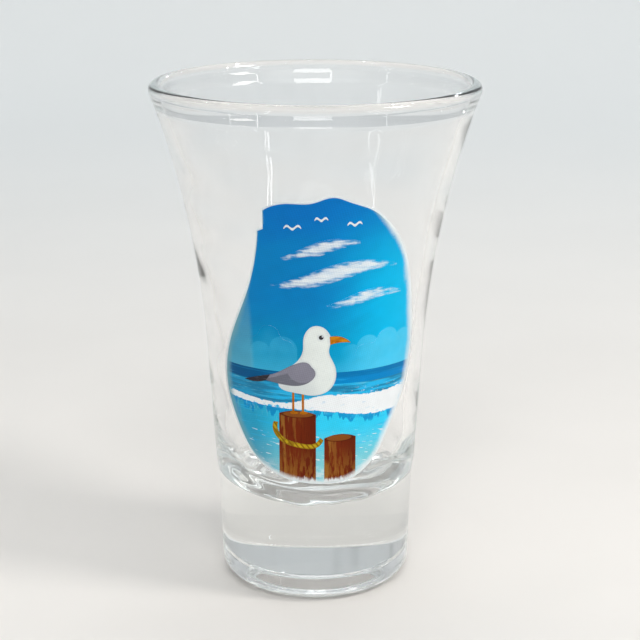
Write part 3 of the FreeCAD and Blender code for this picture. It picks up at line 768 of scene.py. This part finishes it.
def low_clouds():
    """Cover of the low clouds: round heads that stand on the horizon, fainter left, and a veil."""
    shading, _, outputs = new_group("low_clouds", (), (("Cover", "Float"), ("Veil", "Float")))
    place = use_group(shading, picture_place)
    cover = 0.0
    for across, up, radius in CLOUD_HEADS:
        right = shading.minus(place["Across"], across)
        above = shading.most(shading.minus(place["Up"], up), 0.0)
        reach = shading.reach(right, above)
        head = shading.soft_step(reach, radius + 0.08, radius - 0.12)
        cover = shading.most(cover, head)
    uneven = shading.line(shading.noise(place["Place"], 1.2, 1.2, 3.0), 0.5, 0.6)
    faint = shading.times(shading.soft_step(place["Across"], 2.0, -3.0), 0.32)
    strength = shading.most(shading.soft_step(place["Across"], 3.0, 9.5), faint)
    cover = shading.times(cover, strength)
    shading.feed(outputs["Cover"], shading.times(cover, uneven, clamp=True))
    veil = shading.times(shading.soft_step(place["Across"], -9.6, -10.6),
                         shading.soft_step(place["Up"], 56.0, 45.0))
    shading.feed(outputs["Veil"], shading.times(veil, 0.4))


def brush_marks():
    """Marks of a dry brush, so many millimetres long and wide, from 0 to 1."""
    shading, inputs, outputs = new_group(
        "brush_marks", (("Across", "Float"), ("Up", "Float"), ("Cover", "Float")),
        (("Mask", "Float"),))
    place = use_group(shading, picture_place)["Place"]
    pitch = shading.add("ShaderNodeCombineXYZ",
                        {"X": inputs["Across"], "Y": inputs["Up"], "Z": 1.0}).outputs["Vector"]
    scaled = shading.vector("DIVIDE", place, pitch)
    marks = shading.add("ShaderNodeTexNoise",
                        {"Vector": scaled, "Scale": 1.0, "Detail": 4.0,
                         "Roughness": 0.55}).outputs["Fac"]
    low = shading.minus(0.72, shading.times(inputs["Cover"], 0.44))
    high = shading.plus(low, 0.07)
    shading.feed(outputs["Mask"], shading.soft_step(marks, low, high))


def back_light():
    """Glow of a film's back, which faces the glass, and none on its front."""
    shading, inputs, outputs = new_group("back_light", (("Glow", "Color"),), (("Glow", "Color"),))
    geometry = shading.add("ShaderNodeNewGeometry").outputs
    level = shading.vector("MULTIPLY", geometry["Position"], (1.0, 1.0, 0.0))
    outward = shading.vector("DOT_PRODUCT", geometry["True Normal"], level, "Value")
    behind = shading.maths("LESS_THAN", outward, 0.0)
    shading.feed(outputs["Glow"], shading.mix(behind, (0.0, 0.0, 0.0, 1.0), inputs["Glow"]))


def marks(shading, across, up, cover):
    """Brush marks placed in a material."""
    return use_group(shading, brush_marks, {"Across": across, "Up": up, "Cover": cover})["Mask"]


def new_material(name):
    """Material, its shading helper and its shader."""
    material = bpy.data.materials.new(name)
    material.use_nodes = True
    return material, Shading(material.node_tree), material.node_tree.nodes["Principled BSDF"]


def ink_material(name, paint, screen=0.12, faded=True):
    """Satin fired ink: its own painted colour under the finish and back glow all inks share."""
    colours = bpy.context.scene.shot_glass.colours
    material, shading, shader = new_material(name)
    place = use_group(shading, picture_place)
    edges = use_group(shading, side_fade) if faded else {"Fade": 0.01, "Crisp": 0.0}
    finish = use_group(shading, screen_print,
                       {"Colour": paint(shading, place, colours), "Paper": colours.paper,
                        "Edge": colours.edge_ink, "Screen": screen, **edges})
    bump = shading.add("ShaderNodeBump", {"Strength": BUMP_STRENGTH, "Distance": 0.01 * MM,
                                          "Height": finish["Height"]})
    shading.feed(shader.inputs["Base Color"], finish["Colour"])
    shading.feed(shader.inputs["Roughness"], finish["Roughness"])
    shading.feed(shader.inputs["Normal"], bump.outputs["Normal"])
    glow = use_group(shading, back_light, {"Glow": colours.back_glow})["Glow"]
    shading.feed(shader.inputs["Emission Color"], glow)
    shader.inputs["Emission Strength"].default_value = 1.0
    shader.inputs["IOR"].default_value = 1.45
    shader.inputs["Specular IOR Level"].default_value = 0.1
    return material


def sky_tone(shading, colours):
    """Colour of the sky anywhere on the picture."""
    return use_group(shading, painted_sky,
                     {"Top": colours.zenith, "Middle": colours.sky, "Low": colours.sky_low,
                      "Right": colours.sky_bright})["Colour"]


def paint_paper(shading, place, colours):
    thin = shading.noise(place["Place"], 4.0, 4.0, 4.0)
    cool = shading.mix(0.2, colours.paper, colours.feather_shade)
    return shading.mix(shading.soft_step(thin, 0.35, 0.75), colours.paper, cool)


def paint_sky(shading, place, colours):
    """Sky with its haze and low clouds, which both the sky and the cloud films show."""
    tone = sky_tone(shading, colours)
    haze = shading.times(shading.soft_step(place["Up"], 42.5, 39.6), 0.25)
    tone = shading.mix(haze, tone, colours.bank_light)
    clouds = use_group(shading, low_clouds)
    tone = shading.mix(shading.times(clouds["Cover"], 0.75), tone, colours.bank_light)
    return shading.mix(clouds["Veil"], tone, colours.veil)


def paint_cloud_bank(shading, place, colours):
    tone = paint_sky(shading, place, colours)
    soft = shading.soft_step(shading.edge("own_edge"), 0.0, 1.6)
    puffs = shading.times(shading.noise(place["Place"], 1.5, 1.2, 3.0), 0.2)
    return shading.mix(shading.times(soft, puffs), tone, colours.bank_light)


def paint_high_cloud(shading, place, colours):
    tone = sky_tone(shading, colours)
    ragged = shading.line(shading.noise(place["Place"], 1.6, 0.45, 4.0), 2.0, -1.1)
    inner = shading.plus(shading.edge("own_edge"), ragged)
    cover = shading.soft_step(inner, -0.15, 0.7)
    streaks = shading.line(shading.noise(place["Place"], 3.2, 0.35, 4.0), -0.9, 1.35)
    cover = shading.times(cover, streaks, clamp=True)
    return shading.mix(cover, tone, colours.cloud)


def paint_birds(shading, place, colours):
    return shading.mix(shading.noise(place["Place"], 0.6, 0.6, 2.0), colours.cloud, colours.feathers)


def paint_far_sea(shading, place, colours):
    left = shading.soft_step(place["Across"], -2.0, -10.0)
    tone = shading.mix(left, colours.far_sea, colours.far_sea_shade)
    lines = shading.times(marks(shading, 7.0, 0.24, 0.36), 0.45)
    tone = shading.mix(lines, tone, colours.near_sea)
    rim = shading.times(shading.soft_step(place["Up"], 38.5, 38.9), 0.4)
    return shading.mix(rim, tone, colours.far_sea_shade)


def paint_near_sea(shading, place, colours):
    troughs = shading.soft_step(shading.noise(place["Place"], 7.0, 0.7, 4.0), 0.42, 0.58)
    tone = shading.mix(troughs, colours.near_sea, colours.near_sea_shade)
    left = shading.times(shading.soft_step(place["Across"], -4.0, -11.0), 0.6)
    tone = shading.mix(left, tone, colours.near_sea_shade)
    crests = shading.times(marks(shading, 3.2, 0.22, 0.3), 0.4)
    tone = shading.mix(crests, tone, colours.shallows_low)
    right = shading.soft_step(place["Across"], 3.0, 9.0)
    low = shading.soft_step(place["Up"], 37.2, 36.0)
    spray = marks(shading, 0.7, 0.35, 0.3)
    spray = shading.times(spray, shading.times(right, low))
    return shading.mix(spray, tone, colours.foam)


def paint_surf(shading, place, colours):
    cups = marks(shading, 1.8, 0.8, 0.22)
    tone = shading.mix(shading.times(cups, 0.4), colours.foam, colours.foam_shade)
    ragged = shading.line(shading.noise(place["Place"], 0.7, 0.4, 3.0), 1.1, -0.5)
    inner = shading.plus(shading.edge("own_edge"), ragged)
    body = shading.soft_step(inner, 0.0, 0.12)
    return shading.mix(body, colours.near_sea, tone)


def paint_shallows(shading, place, colours):
    low = shading.soft_step(place["Up"], 31.0, 24.0)
    tone = shading.mix(low, colours.shallows, colours.shallows_low)
    left = shading.times(shading.soft_step(place["Across"], -3.0, -11.0), 0.65)
    tone = shading.mix(left, tone, colours.near_sea_shade)
    under = shading.edge("own_edge")
    scoops = shading.line(shading.noise(place["Place"], 0.8, 5.0, 2.0), 4.4, -1.35)
    scoop = shading.soft_step(shading.minus(scoops, under), 0.0, 0.25)
    scoop = shading.times(scoop, shading.soft_step(place["Up"], 30.6, 31.4))
    tone = shading.mix(shading.times(scoop, 0.8), tone, colours.far_sea)
    streaks = shading.times(marks(shading, 0.3, 1.8, 0.3),
                            shading.soft_step(place["Up"], 31.0, 32.4))
    tone = shading.mix(shading.times(streaks, 0.5), tone, colours.shallows_low)
    shade = shading.times(marks(shading, 5.0, 0.42, 0.36),
                          shading.soft_step(place["Up"], 25.0, 29.0))
    tone = shading.mix(shading.times(shade, 0.5), tone, colours.near_sea)
    strokes = shading.slanted(place["Place"], 8)
    foam = shading.noise(strokes, 2.2, 0.34, 2.0)
    foam = shading.times(shading.soft_step(foam, 0.63, 0.69),
                         shading.soft_step(place["Up"], 30.4, 28.6))
    tone = shading.mix(shading.times(foam, 0.9), tone, colours.foam)
    beach = shading.times(shading.soft_step(place["Up"], 25.5, 21.5), 0.85)
    patches = shading.soft_step(shading.noise(place["Place"], 2.0, 0.8, 3.0), 0.35, 0.6)
    return shading.mix(shading.times(beach, patches), tone, colours.paper)


def paint_feathers(shading, place, colours):
    from_left = shading.soft_step(place["Across"], 2.6, -2.6)
    low = shading.soft_step(place["Up"], 41.0, 36.4)
    shade = shading.times(shading.times(from_left, 0.5), low)
    edge = shading.edge_line(0.5, 0.0, 0.45)
    shade = shading.most(shade, edge)
    tone = shading.mix(shade, colours.feathers, colours.feather_shade)
    plumes = shading.times(marks(shading, 0.5, 0.9, 0.3), 0.18)
    return shading.mix(plumes, tone, colours.feather_shade)


def paint_wing(shading, place, colours):
    bend = shading.line(place["Across"], 0.35, 40.9)
    below = shading.minus(bend, place["Up"])
    under = shading.times(shading.soft_step(below, -0.1, 0.15), 0.8)
    tone = shading.mix(under, colours.wing, colours.wing_shade)
    quills = shading.times(marks(shading, 2.6, 0.3, 0.3), 0.12)
    tone = shading.mix(quills, tone, colours.feather_shade)
    right = shading.plus(place["Across"], 2.0)
    up = shading.minus(place["Up"], 40.4)
    reach = shading.reach(right, up)
    shoulder = shading.soft_step(reach, 2.55, 2.4)
    tone = shading.mix(shoulder, tone, colours.wing)
    edge = shading.edge_line(0.16, 0.0, 0.5)
    return shading.mix(edge, tone, colours.wing_shade)


def paint_slate(shading, place, colours):
    quills = shading.times(marks(shading, 1.4, 0.2, 0.4), 0.3)
    return shading.mix(quills, colours.slate, colours.wing_shade)


def paint_eye(shading, place, colours):
    right = shading.minus(place["Across"], 1.05)
    up = shading.minus(place["Up"], 45.54)
    reach = shading.reach(right, up)
    glint = shading.soft_step(reach, 0.13, 0.07)
    return shading.mix(glint, colours.slate, colours.foam)


def paint_orange(shading, place, colours):
    low = shading.soft_step(shading.noise(place["Place"], 1.0, 0.5, 2.0), 0.35, 0.7)
    tone = shading.mix(low, colours.orange, colours.orange_shade)
    edge = shading.edge_line(0.18, 0.0, 0.6)
    return shading.mix(edge, tone, colours.orange_shade)


def paint_wood(left, width, top):
    """Paint of a post whose left side, width and top are given in millimetres."""
    def paint(shading, place, colours):
        across = shading.maths("DIVIDE", shading.minus(place["Across"], left), width)
        shade = shading.soft_step(across, 0.35, 1.0)
        tone = shading.mix(shading.times(shade, 0.5), colours.wood, colours.wood_dark)
        lit = shading.times(marks(shading, 0.6, 5.0, 0.46), shading.soft_step(across, 0.8, 0.0))
        tone = shading.mix(shading.times(lit, 0.8), tone, colours.wood_light)
        grain = shading.times(marks(shading, 0.26, 4.5, 0.34), 0.6)
        tone = shading.mix(grain, tone, colours.wood_dark)
        low = shading.times(shading.soft_step(place["Up"], 28.0, 22.5),
                            marks(shading, 0.5, 3.0, 0.6))
        tone = shading.mix(shading.times(low, 0.55), tone, colours.wood_light)
        from_middle = shading.line(across, 2.0, -1.0)
        above = shading.maths("DIVIDE", shading.minus(place["Up"], top), POST_CROWN)
        reach = shading.reach(from_middle, above)
        ring = shading.soft_step(reach, 1.12, 1.0)
        tone = shading.mix(shading.times(ring, 0.85), tone, colours.wood_dark)
        face = shading.mix(0.45, colours.wood, colours.wood_light)
        tone = shading.mix(shading.soft_step(reach, 0.9, 0.78), tone, face)
        ragged = shading.line(shading.noise(place["Place"], 0.5, 1.4, 3.0), 3.0, place["Up"])
        worn = shading.soft_step(ragged, 23.6, 22.9)
        return shading.mix(shading.times(worn, 0.85), tone, colours.paper)
    return paint


def paint_rope(shading, place, colours):
    slant = shading.plus(shading.times(place["Across"], 7.4), shading.times(place["Up"], 6.0))
    twist = shading.maths("SINE", slant)
    strand = shading.soft_step(twist, -0.95, 0.1)
    tone = shading.mix(strand, colours.rope_dark, colours.rope)
    edge = shading.edge_line(0.16, 0.02, 0.7)
    return shading.mix(edge, tone, colours.rope_dark)


def glass_material():
    """Clear pressed glass with a faint cool body."""
    material, shading, shader = new_material("clear_glass")
    shader.inputs["Base Color"].default_value = (1.0, 1.0, 1.0, 1.0)
    shader.inputs["Metallic"].default_value = 0.0
    shader.inputs["Transmission Weight"].default_value = 1.0
    shader.inputs["IOR"].default_value = 1.52
    place = shading.add("ShaderNodeTexCoord").outputs["Object"]
    smear = shading.add("ShaderNodeTexNoise", {"Vector": place, "Scale": 160.0, "Detail": 3.0})
    haze = shading.times(shading.soft_step(smear.outputs["Fac"], 0.5, 0.75), 0.012)
    shading.feed(shader.inputs["Roughness"], haze)
    swirl = shading.add("ShaderNodeTexNoise", {"Vector": place, "Scale": 220.0, "Detail": 2.0})
    bump = shading.add("ShaderNodeBump", {"Strength": 0.08, "Distance": 0.02 * MM,
                                          "Height": swirl.outputs["Fac"]})
    shading.feed(shader.inputs["Normal"], bump.outputs["Normal"])
    body = shading.add("ShaderNodeVolumeAbsorption", {"Color": (0.80, 0.84, 0.82, 1.0),
                                                      "Density": 12.0})
    output = material.node_tree.nodes["Material Output"]
    shading.feed(output.inputs["Volume"], body.outputs["Volume"])
    return material


# ---------------------------------------------------------------- operators

class SHOTGLASS_OT_glass(bpy.types.Operator):
    """Turn the glass: foot, shoulder, flared bowl and rounded lip"""

    bl_idname = "shotglass.glass"
    bl_label = "Glass"
    bl_options = {"REGISTER", "UNDO"}

    def execute(self, context):
        mesh = turned_mesh("turned_glass", context.scene.shot_glass.glass)
        place_piece(mesh, "glass_body", "clear_glass", glass_material())
        return {"FINISHED"}


class SHOTGLASS_OT_underprint(bpy.types.Operator):
    """Lay the white ink that the picture is printed on"""

    bl_idname = "shotglass.underprint"
    bl_label = "White Underprint"
    bl_options = {"REGISTER", "UNDO"}

    def execute(self, context):
        material = ink_material("white_ink", paint_paper, 0.03, False)
        print_film("white_underprint", 1, "white_ink", material)
        return {"FINISHED"}


class SHOTGLASS_OT_sky(bpy.types.Operator):
    """Print the sky, its low banks and high wisps of cloud and three distant birds"""

    bl_idname = "shotglass.sky"
    bl_label = "Sky, Clouds and Birds"
    bl_options = {"REGISTER", "UNDO"}

    def execute(self, context):
        for node, layer, slot, paint in (
                ("sky_print", 2, "sky_ink", paint_sky),
                ("cloud_bank_print", 3, "cloud_bank_ink", paint_cloud_bank),
                ("high_cloud_print", 3, "high_cloud_ink", paint_high_cloud),
                ("distant_birds_print", 3, "high_cloud_ink", paint_birds)):
            print_film(node, layer, slot, ink_material(node.replace("print", "ink"), paint))
        return {"FINISHED"}


class SHOTGLASS_OT_sea(bpy.types.Operator):
    """Print the far sea, the near sea, the surf and the shallows"""

    bl_idname = "shotglass.sea"
    bl_label = "Sea and Surf"
    bl_options = {"REGISTER", "UNDO"}

    def execute(self, context):
        for node, slot, paint in (
                ("far_sea_print", "far_sea_ink", paint_far_sea),
                ("near_sea_print", "near_sea_ink", paint_near_sea),
                ("surf_print", "surf_ink", paint_surf),
                ("shallows_print", "shallows_ink", paint_shallows)):
            print_film(node, 2, slot, ink_material(slot, paint))
        return {"FINISHED"}


class SHOTGLASS_OT_gull(bpy.types.Operator):
    """Print the gull: body, folded wing, wing tip, beak, eye and legs"""

    bl_idname = "shotglass.gull"
    bl_label = "Gull"
    bl_options = {"REGISTER", "UNDO"}

    def execute(self, context):
        orange = ink_material("gull_orange_ink", paint_orange, 0.1, False)
        for node, slot, material in (
                ("gull_body_print", "gull_white_ink",
                 ink_material("gull_white_ink", paint_feathers, 0.08, False)),
                ("gull_wing_print", "gull_grey_ink",
                 ink_material("gull_grey_ink", paint_wing, 0.16, False)),
                ("gull_wing_tip_print", "gull_slate_ink",
                 ink_material("gull_slate_ink", paint_slate, 0.2, False)),
                ("gull_eye_print", "gull_slate_ink",
                 ink_material("gull_eye_ink", paint_eye, 0.0, False)),
                ("gull_beak_print", "gull_orange_ink", orange),
                ("gull_legs_print", "gull_orange_ink", orange)):
            print_film(node, 3, slot, material)
        return {"FINISHED"}


class SHOTGLASS_OT_posts(bpy.types.Operator):
    """Print the two mooring posts and the rope round the tall one"""

    bl_idname = "shotglass.posts"
    bl_label = "Posts and Rope"
    bl_options = {"REGISTER", "UNDO"}

    def execute(self, context):
        for node in ("tall_post_print", "short_post_print"):
            low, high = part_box(node)
            paint = paint_wood(low.x / MM, (high.x - low.x) / MM, high.z / MM - POST_CROWN)
            print_film(node, 3, "post_ink", ink_material(node.replace("print", "ink"), paint, 0.14))
        print_film("rope_print", 3, "rope_ink", ink_material("rope_ink", paint_rope, 0.1, False))
        return {"FINISHED"}


# ---------------------------------------------------------------- stage

SWEEP_STEP = 0.05
SWEEP_ROUND_STEP = 0.04
SWEEP_AROUND = 96


def stage_section(sizes):
    """Section of the floor and backdrop, from the middle out and up."""
    low = -sizes.floor_gap
    corner = Vector((sizes.floor_radius, low + sizes.sweep_round))
    points = straight(Vector((0, low)), Vector((sizes.floor_radius, low)), SWEEP_STEP)
    points += rounded(corner, sizes.sweep_round, -math.pi / 2, math.pi / 2, SWEEP_ROUND_STEP)
    wall = Vector((sizes.floor_radius + sizes.sweep_round, corner.y))
    points += straight(wall, Vector((wall.x, sizes.backdrop_height)), SWEEP_STEP)
    return points + [Vector((wall.x, sizes.backdrop_height))]


def cloth_material(sizes):
    """Pale matt cloth with its folds painted as shade in its colour, cooler behind the glass, under a
    dimmer patchy wall.
    """
    material, shading, shader = new_material("pale_cloth")
    place = shading.add("ShaderNodeTexCoord").outputs["Object"]
    split = shading.parts(place)
    # The folds are painted shade: noise darkens the cloth's own colour a little, and the sweep itself
    # stays smooth.
    fold_shade_noise = shading.add("ShaderNodeTexNoise", {"Vector": place, "Scale": 9.0, "Detail": 3.0})
    faint = shading.soft_step(fold_shade_noise.outputs["Fac"], 0.35, 0.7)
    fold_shade_tone = tuple(value * 0.95 for value in sizes.cloth[:3]) + (1.0,)
    tone = shading.mix(faint, sizes.cloth, fold_shade_tone)
    tone = shading.mix(shading.soft_step(split["Y"], 0.0, 0.5), tone, sizes.backdrop)
    # Noise lays darker patches over the wall's own colour.
    patches = shading.add("ShaderNodeTexNoise", {"Vector": place, "Scale": 3.5, "Detail": 2.0})
    patchy = shading.soft_step(patches.outputs["Fac"], 0.5, 0.62)
    wall = shading.mix(patchy, sizes.wall, sizes.smudge)
    tone = shading.mix(shading.soft_step(split["Z"], 0.06, 0.2), tone, wall)
    shading.feed(shader.inputs["Base Color"], tone)
    shader.inputs["Roughness"].default_value = 0.9
    shader.inputs["Specular IOR Level"].default_value = 0.1
    return material


def make_sweep(sizes):
    """Round floor that curves up into a backdrop on every side."""
    around = SWEEP_AROUND
    section = stage_section(sizes)
    vertices = [(0.0, 0.0, section[0].y)]
    for point in section[1:]:
        for step in range(around):
            turn = math.tau * step / around
            vertices.append((point.x * math.cos(turn), point.x * math.sin(turn), point.y))
    faces = []
    for step in range(around):
        after = (step + 1) % around
        faces.append((0, 1 + step, 1 + after))
        for row in range(len(section) - 2):
            low, high = 1 + row * around, 1 + (row + 1) * around
            faces.append((low + step, high + step, high + after, low + after))
    mesh = new_mesh("sweep", vertices, faces)
    mesh.materials.append(cloth_material(sizes))
    sweep = bpy.data.objects.new("sweep", mesh)
    bpy.context.scene.collection.objects.link(sweep)


def make_daylight(sizes):
    """Soft light of the room: bright before and behind the glass, dimmer at its sides."""
    world = bpy.data.worlds.new("daylight")
    world.use_nodes = True
    shading = Shading(world.node_tree)
    position = shading.add("ShaderNodeTexCoord").outputs["Generated"]
    split = shading.parts(position)
    aside = shading.soft_step(shading.maths("ABSOLUTE", split["X"]), 0.35, 0.6)
    background = world.node_tree.nodes["Background"]
    shading.feed(background.inputs["Color"], shading.mix(aside, sizes.daylight, sizes.dusk))
    background.inputs["Strength"].default_value = 1.2
    bpy.context.scene.world = world


WHITE = (1.0, 1.0, 1.0)
LIGHTS = (
    # name, place, width, height, lean in degrees, power in watts, colour, seen in the glass
    ("key", (0.40, -0.16, 0.46), 0.14, 0.14, 0, 1.3, (1.0, 0.97, 0.93), True),
    ("front", (0.02, -0.50, 0.58), 0.30, 0.25, 0, 1.5, (1.0, 0.99, 0.97), False),
    ("streak_right", (0.50, -0.45, 0.16), 0.014, 0.34, 12, 0.18, WHITE, True),
    ("streak_left", (-0.50, -0.30, 0.20), 0.012, 0.30, -14, 0.05, WHITE, True),
)
SPARKLES = 24
SPARKLE_SIZE = 0.01
SPARKLE_POWER = 0.08
SPARKLE_SHIFT = 0.3
SPARKLE_RISE = 28, 68
SPARKLE_REACH = 0.5, 0.62
SPARKLE_SEED = 5


def sparkle_places():
    """Places of the small lamps overhead that only show as glints in the glass."""
    dice = random.Random(SPARKLE_SEED)
    places = []
    for index in range(SPARKLES):
        turn = math.tau * (index + dice.uniform(-SPARKLE_SHIFT, SPARKLE_SHIFT)) / SPARKLES
        rise = math.radians(dice.uniform(*SPARKLE_RISE))
        places.append(Vector((math.cos(turn) * math.cos(rise), math.sin(turn) * math.cos(rise),
                              math.sin(rise))) * dice.uniform(*SPARKLE_REACH))
    return places


def make_light(name, place, width, height, lean, power, tint, in_glass):
    """Soft rectangular light that faces the glass, leaning to one side."""
    lamp = bpy.data.lights.new(name, "AREA")
    lamp.shape = "RECTANGLE"
    lamp.size = width
    lamp.size_y = height
    lamp.energy = power
    lamp.color = tint
    light = bpy.data.objects.new(name, lamp)
    light.location = place
    facing = (GLASS_MIDDLE - light.location).to_track_quat("-Z", "Y")
    leaning = Quaternion((0.0, 0.0, 1.0), math.radians(lean))
    light.rotation_euler = (facing @ leaning).to_euler()
    light.visible_camera = False
    light.visible_glossy = in_glass
    bpy.context.scene.collection.objects.link(light)
    return light


SENSOR_WIDTH = 36.0
NEAREST_SEEN = 0.01
SHIFT_RIGHT, SHIFT_UP = 0.00742, -0.00289


def make_camera(sizes):
    """Camera a little above the rim, looking down at the picture."""
    lens = bpy.data.cameras.new("camera")
    lens.sensor_width = SENSOR_WIDTH
    lens.lens = sizes.lens / MM
    lens.clip_start = NEAREST_SEEN
    lens.shift_x = SHIFT_RIGHT
    lens.shift_y = SHIFT_UP
    camera = bpy.data.objects.new("camera", lens)
    camera.location = (0.0, -sizes.camera_distance, sizes.camera_height)
    camera.rotation_euler = (math.pi / 2 - sizes.camera_dip, 0.0, 0.0)
    bpy.context.scene.collection.objects.link(camera)
    bpy.context.scene.camera = camera


INNER_TURNS = 32


class SHOTGLASS_OT_stage(bpy.types.Operator):
    """Set up the pale floor and backdrop, the soft lights and the camera"""

    bl_idname = "shotglass.stage"
    bl_label = "Stage"
    bl_options = {"REGISTER", "UNDO"}

    def execute(self, context):
        sizes = context.scene.shot_glass.stage
        make_sweep(sizes)
        make_daylight(sizes)
        for light in LIGHTS:
            make_light(*light)
        for index, place in enumerate(sparkle_places(), 1):
            sparkle = make_light(f"sparkle_{index}", place, SPARKLE_SIZE, SPARKLE_SIZE, 0.0,
                                 SPARKLE_POWER, WHITE, True)
            sparkle.visible_diffuse = False
        make_camera(sizes)
        scene = context.scene
        scene.view_settings.view_transform = "Standard"
        # Light turns many times inside the thick foot before it leaves.
        scene.cycles.max_bounces = INNER_TURNS
        scene.cycles.glossy_bounces = INNER_TURNS
        scene.cycles.transmission_bounces = INNER_TURNS
        return {"FINISHED"}


MAKERS = (SHOTGLASS_OT_glass, SHOTGLASS_OT_underprint, SHOTGLASS_OT_sky, SHOTGLASS_OT_sea,
          SHOTGLASS_OT_gull, SHOTGLASS_OT_posts, SHOTGLASS_OT_stage)


class SHOTGLASS_PT_pieces(bpy.types.Panel):
    """Buttons for the pieces of the shot glass"""

    bl_idname = "SHOTGLASS_PT_pieces"
    bl_label = "Shot Glass"
    bl_space_type = "VIEW_3D"
    bl_region_type = "UI"
    bl_category = "Shot Glass"

    def draw(self, context):
        for maker in MAKERS:
            self.layout.operator(maker.bl_idname)


CLASSES = (GlassSizes, PrintSizes, PrintColours, StageSizes, ShotGlassSettings, *MAKERS,
           SHOTGLASS_PT_pieces)


def register():
    for item in CLASSES:
        bpy.utils.register_class(item)
    bpy.types.Scene.shot_glass = bpy.props.PointerProperty(
        type=ShotGlassSettings, name="Shot Glass", description="Sizes and colours of the glass")


def unregister():
    del bpy.types.Scene.shot_glass
    for item in reversed(CLASSES):
        bpy.utils.unregister_class(item)


def main():
    register()
    bpy.ops.shotglass.glass()
    bpy.ops.shotglass.underprint()
    bpy.ops.shotglass.sky()
    bpy.ops.shotglass.sea()
    bpy.ops.shotglass.gull()
    bpy.ops.shotglass.posts()
    bpy.ops.shotglass.stage()


if __name__ == "__main__":
    main()
